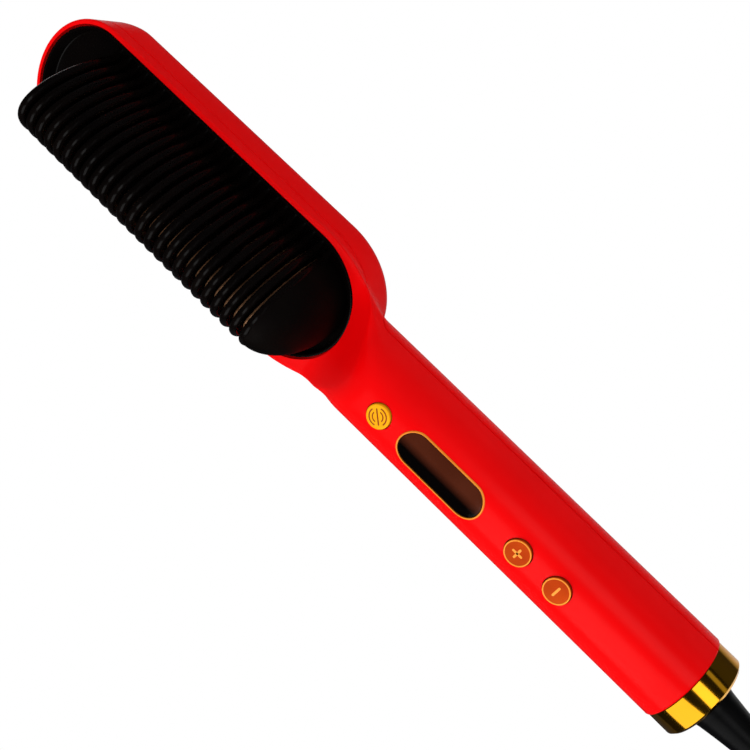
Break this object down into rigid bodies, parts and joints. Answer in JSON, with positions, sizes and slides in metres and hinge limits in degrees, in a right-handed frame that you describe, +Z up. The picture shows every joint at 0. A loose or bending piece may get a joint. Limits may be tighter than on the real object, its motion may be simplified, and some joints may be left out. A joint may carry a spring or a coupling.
{
  "type": "heated straightening comb brush",
  "caption": "Heated hair-straightening comb with a finned head, a round handle with a display and push buttons, and a cord boot that turns.",
  "frame": {"origin": "middle of the part's resting box, on the surface it lies on, measured without the free cord", "axes": "+X along the handle towards the cord, +Z up through the comb's fins and the buttons, +Y across the handle"},
  "size_m": [0.5967, 0.0576, 0.058],
  "materials": {
    "red_shell": "glossy red moulding",
    "black_guard": "satin heat-proof black moulding",
    "heater_metal": "coated bronze-coloured metal",
    "ceramic": "white ceramic",
    "insulation": "mica sheet",
    "steel": "pressed steel",
    "dark_plastic": "dark moulding",
    "tinned_metal": "tinned metal case",
    "lead_sleeve": "white heat-proof sleeve",
    "board_green": "green circuit board",
    "relay_blue": "blue relay case",
    "smoked_lens": "smoked clear lens",
    "bezel_gold": "orange-gold metallic band",
    "pale_plastic": "pale moulding",
    "button_gold": "gold metallic",
    "button_bronze": "bronze-orange metallic",
    "screw_steel": "blackened steel",
    "polished_gold": "mirror-polished gold plating",
    "contact_brass": "plain brass",
    "boot_rubber": "black soft moulding",
    "cord_rubber": "black cord sheath",
    "tie_fabric": "black hook-and-loop band",
    "plug_plastic": "black moulded plug",
    "pin_metal": "nickel-plated pins"
  },
  "bodies": {
    "handle": {"front_housing": "red_shell", "rear_housing": "red_shell", "comb_guard": "black_guard", "heater_comb": "heater_metal", "heating_plate_1": "ceramic", "heating_plate_2": "ceramic", "insulation_sheet": "insulation", "clamp_plate": "steel", "heat_shield": "steel", "temperature_sensor": "dark_plastic", "thermal_fuse": "tinned_metal", "heater_leads": "lead_sleeve", "sensor_lead": "dark_plastic", "control_board": "board_green", "driver_chip": "dark_plastic", "relay": "relay_blue", "capacitor": "dark_plastic", "display_module": "dark_plastic", "display_lens": "smoked_lens", "display_bezel": "bezel_gold", "power_switch": "dark_plastic", "plus_switch": "dark_plastic", "minus_switch": "dark_plastic", "handle_screws": "screw_steel", "head_screws": "screw_steel", "guard_screws": "screw_steel", "clamp_screws": "screw_steel", "board_screws": "screw_steel", "end_ring": "polished_gold", "swivel_carrier": "pale_plastic", "contact_springs": "contact_brass", "mains_leads": "dark_plastic", "cord_lead": "cord_rubber", "cord_coil": "cord_rubber", "cord_tail": "cord_rubber", "cord_tie": "tie_fabric", "plug_body": "plug_plastic", "plug_pins": "pin_metal"},
    "power": {"power_button": "button_gold", "power_plunger": "pale_plastic"},
    "plus": {"plus_button": "button_bronze", "plus_plunger": "pale_plastic"},
    "minus": {"minus_button": "button_bronze", "minus_plunger": "pale_plastic"},
    "swivel": {"cord_boot": "boot_rubber", "swivel_core": "pale_plastic", "contact_rings": "contact_brass"}
  },
  "joints": [
    {"name": "power_press", "type": "slide", "parent": "handle", "child": "power", "axis": [0, 0, -1], "range_m": [0, 0.0005], "stiffness_N_per_m": 400},
    {"name": "plus_press", "type": "slide", "parent": "handle", "child": "plus", "axis": [0, 0, -1], "range_m": [0, 0.0005], "stiffness_N_per_m": 400},
    {"name": "minus_press", "type": "slide", "parent": "handle", "child": "minus", "axis": [0, 0, -1], "range_m": [0, 0.0005], "stiffness_N_per_m": 400},
    {"name": "cord_swivel", "type": "hinge", "parent": "handle", "child": "swivel", "pos_m": [0.12585, 0, 0.0246], "axis": [1, 0, 0], "continuous": true}
  ]
}
